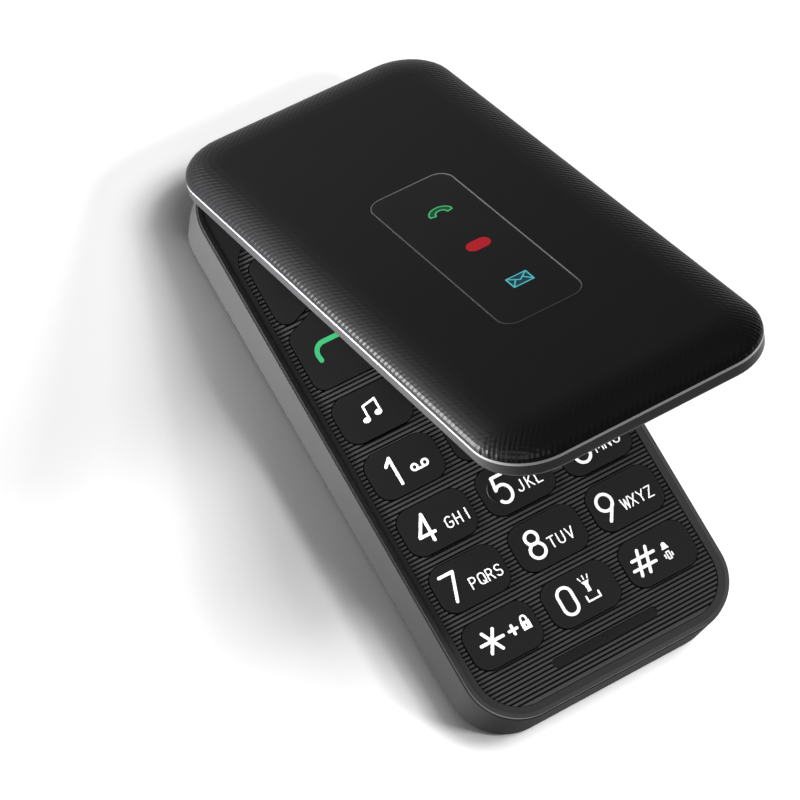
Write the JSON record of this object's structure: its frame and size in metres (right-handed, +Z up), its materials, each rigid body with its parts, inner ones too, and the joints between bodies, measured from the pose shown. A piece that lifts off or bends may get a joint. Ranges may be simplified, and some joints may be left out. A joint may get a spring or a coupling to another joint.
{
  "type": "flip phone",
  "caption": "Flip phone: a pillowed lid with an indicator window, on a barrel hinge over a ribbed keypad of rounded push keys.",
  "frame": {"origin": "middle of the flat underside of the base", "axes": "+Y towards the hinge end, +X to the right as the keys are read, +Z up from the underside through the keys"},
  "size_m": [0.0565, 0.1227, 0.0865],
  "materials": {
    "graphite_shell": "fine matt moulded shell, mid grey",
    "gloss_black": "glossy black deck",
    "satin_silver": "satin silver-grey trim",
    "ribbed_black": "satin black with fine ribs",
    "battery_case": "metal cell in a printed sleeve",
    "board_green": "solder-mask green",
    "dome_film": "clear film over metal domes",
    "tin_plate": "tinned sheet steel",
    "speaker_black": "black moulded frame",
    "socket_black": "black moulded body",
    "dark_glass": "polished dark glass",
    "torch_clear": "clear lens",
    "screw_steel": "zinc-plated steel",
    "hinge_steel": "machined steel",
    "lid_black": "satin black frame",
    "lid_soft_black": "soft matt black with a fine cross texture",
    "window_smoke": "smoked clear plastic",
    "led_white": "translucent light guide",
    "screen_glass": "polished glass",
    "panel_dark": "dark display panel",
    "mesh_steel": "dark woven mesh",
    "rubber_black": "matt rubber",
    "key_charcoal": "smooth satin charcoal"
  },
  "bodies": {
    "base": {"rear_housing": "graphite_shell", "front_housing": "gloss_black", "trim_ring": "satin_silver", "keypad_plate": "ribbed_black", "battery_cover": "graphite_shell", "battery": "battery_case", "main_board": "board_green", "dome_sheet": "dome_film", "shield_can": "tin_plate", "sim_holder": "tin_plate", "loudspeaker": "speaker_black", "vibration_motor": "tin_plate", "microphone": "tin_plate", "usb_socket": "tin_plate", "headphone_socket": "socket_black", "camera_module": "socket_black", "camera_window": "dark_glass", "torch_lens": "torch_clear", "housing_screws": "screw_steel", "hinge_shaft": "hinge_steel", "hinge_pin": "hinge_steel"},
    "lid": {"lid_inner_housing": "lid_black", "lid_cover": "lid_soft_black", "lid_trim_ring": "satin_silver", "indicator_window": "window_smoke", "indicator_leds": "led_white", "display_lens": "screen_glass", "display_panel": "panel_dark", "lid_board": "board_green", "earpiece": "socket_black", "earpiece_mesh": "mesh_steel", "lid_screws": "screw_steel", "screw_caps": "rubber_black", "lid_bumpers": "rubber_black", "hinge_can": "hinge_steel", "hinge_follower": "hinge_steel", "hinge_spring": "hinge_steel"},
    "key_1": {"key_1": "key_charcoal"},
    "key_2": {"key_2": "key_charcoal"},
    "key_3": {"key_3": "key_charcoal"},
    "key_4": {"key_4": "key_charcoal"},
    "key_5": {"key_5": "key_charcoal"},
    "key_6": {"key_6": "key_charcoal"},
    "key_7": {"key_7": "key_charcoal"},
    "key_8": {"key_8": "key_charcoal"},
    "key_9": {"key_9": "key_charcoal"},
    "key_star": {"key_star": "key_charcoal"},
    "key_0": {"key_0": "key_charcoal"},
    "key_hash": {"key_hash": "key_charcoal"},
    "key_music": {"key_music": "key_charcoal"},
    "key_clear": {"key_clear": "key_charcoal"},
    "key_message": {"key_message": "key_charcoal"},
    "call_key": {"call_key": "key_charcoal"},
    "end_key": {"end_key": "key_charcoal"},
    "soft_key_left": {"soft_key_left": "key_charcoal"},
    "soft_key_right": {"soft_key_right": "key_charcoal"},
    "ok_key": {"ok_key": "key_charcoal"},
    "nav_ring": {"nav_ring": "key_charcoal", "nav_plungers": "rubber_black"},
    "volume_key": {"volume_key": "key_charcoal"}
  },
  "joints": [
    {"name": "lid_hinge", "type": "hinge", "parent": "base", "child": "lid", "pos_m": [0, 0.0552, 0.00935], "axis": [-1, 0, 0], "range_deg": [-38, 112]},
    {"name": "key_1_press", "type": "slide", "parent": "base", "child": "key_1", "axis": [0, 0, -1], "range_m": [0, 0.00035], "stiffness_N_per_m": 400, "springref_m": -0.0005},
    {"name": "key_2_press", "type": "slide", "parent": "base", "child": "key_2", "axis": [0, 0, -1], "range_m": [0, 0.00035], "stiffness_N_per_m": 400, "springref_m": -0.0005},
    {"name": "key_3_press", "type": "slide", "parent": "base", "child": "key_3", "axis": [0, 0, -1], "range_m": [0, 0.00035], "stiffness_N_per_m": 400, "springref_m": -0.0005},
    {"name": "key_4_press", "type": "slide", "parent": "base", "child": "key_4", "axis": [0, 0, -1], "range_m": [0, 0.00035], "stiffness_N_per_m": 400, "springref_m": -0.0005},
    {"name": "key_5_press", "type": "slide", "parent": "base", "child": "key_5", "axis": [0, 0, -1], "range_m": [0, 0.00035], "stiffness_N_per_m": 400, "springref_m": -0.0005},
    {"name": "key_6_press", "type": "slide", "parent": "base", "child": "key_6", "axis": [0, 0, -1], "range_m": [0, 0.00035], "stiffness_N_per_m": 400, "springref_m": -0.0005},
    {"name": "key_7_press", "type": "slide", "parent": "base", "child": "key_7", "axis": [0, 0, -1], "range_m": [0, 0.00035], "stiffness_N_per_m": 400, "springref_m": -0.0005},
    {"name": "key_8_press", "type": "slide", "parent": "base", "child": "key_8", "axis": [0, 0, -1], "range_m": [0, 0.00035], "stiffness_N_per_m": 400, "springref_m": -0.0005},
    {"name": "key_9_press", "type": "slide", "parent": "base", "child": "key_9", "axis": [0, 0, -1], "range_m": [0, 0.00035], "stiffness_N_per_m": 400, "springref_m": -0.0005},
    {"name": "key_star_press", "type": "slide", "parent": "base", "child": "key_star", "axis": [0, 0, -1], "range_m": [0, 0.00035], "stiffness_N_per_m": 400, "springref_m": -0.0005},
    {"name": "key_0_press", "type": "slide", "parent": "base", "child": "key_0", "axis": [0, 0, -1], "range_m": [0, 0.00035], "stiffness_N_per_m": 400, "springref_m": -0.0005},
    {"name": "key_hash_press", "type": "slide", "parent": "base", "child": "key_hash", "axis": [0, 0, -1], "range_m": [0, 0.00035], "stiffness_N_per_m": 400, "springref_m": -0.0005},
    {"name": "key_music_press", "type": "slide", "parent": "base", "child": "key_music", "axis": [0, 0, -1], "range_m": [0, 0.00035], "stiffness_N_per_m": 400, "springref_m": -0.0005},
    {"name": "key_clear_press", "type": "slide", "parent": "base", "child": "key_clear", "axis": [0, 0, -1], "range_m": [0, 0.00035], "stiffness_N_per_m": 400, "springref_m": -0.0005},
    {"name": "key_message_press", "type": "slide", "parent": "base", "child": "key_message", "axis": [0, 0, -1], "range_m": [0, 0.00035], "stiffness_N_per_m": 400, "springref_m": -0.0005},
    {"name": "call_key_press", "type": "slide", "parent": "base", "child": "call_key", "axis": [0, 0, -1], "range_m": [0, 0.00035], "stiffness_N_per_m": 400, "springref_m": -0.0005},
    {"name": "end_key_press", "type": "slide", "parent": "base", "child": "end_key", "axis": [0, 0, -1], "range_m": [0, 0.00035], "stiffness_N_per_m": 400, "springref_m": -0.0005},
    {"name": "soft_key_left_press", "type": "slide", "parent": "base", "child": "soft_key_left", "axis": [0, 0, -1], "range_m": [0, 0.00035], "stiffness_N_per_m": 400, "springref_m": -0.0005},
    {"name": "soft_key_right_press", "type": "slide", "parent": "base", "child": "soft_key_right", "axis": [0, 0, -1], "range_m": [0, 0.00035], "stiffness_N_per_m": 400, "springref_m": -0.0005},
    {"name": "ok_key_press", "type": "slide", "parent": "base", "child": "ok_key", "axis": [0, 0, -1], "range_m": [0, 0.00035], "stiffness_N_per_m": 400, "springref_m": -0.0005},
    {"name": "nav_ring_tilt", "type": "hinge", "parent": "base", "child": "nav_ring", "pos_m": [0, 0.0265, 0.0118], "axis": [1, 0, 0], "range_deg": [-1.2, 1.2], "stiffness_Nm_per_rad": 0.4},
    {"name": "volume_key_rock", "type": "hinge", "parent": "base", "child": "volume_key", "pos_m": [0.026, 0.034, 0.0061], "axis": [0, 0, 1], "range_deg": [-1.5, 1.5], "stiffness_Nm_per_rad": 0.4}
  ]
}
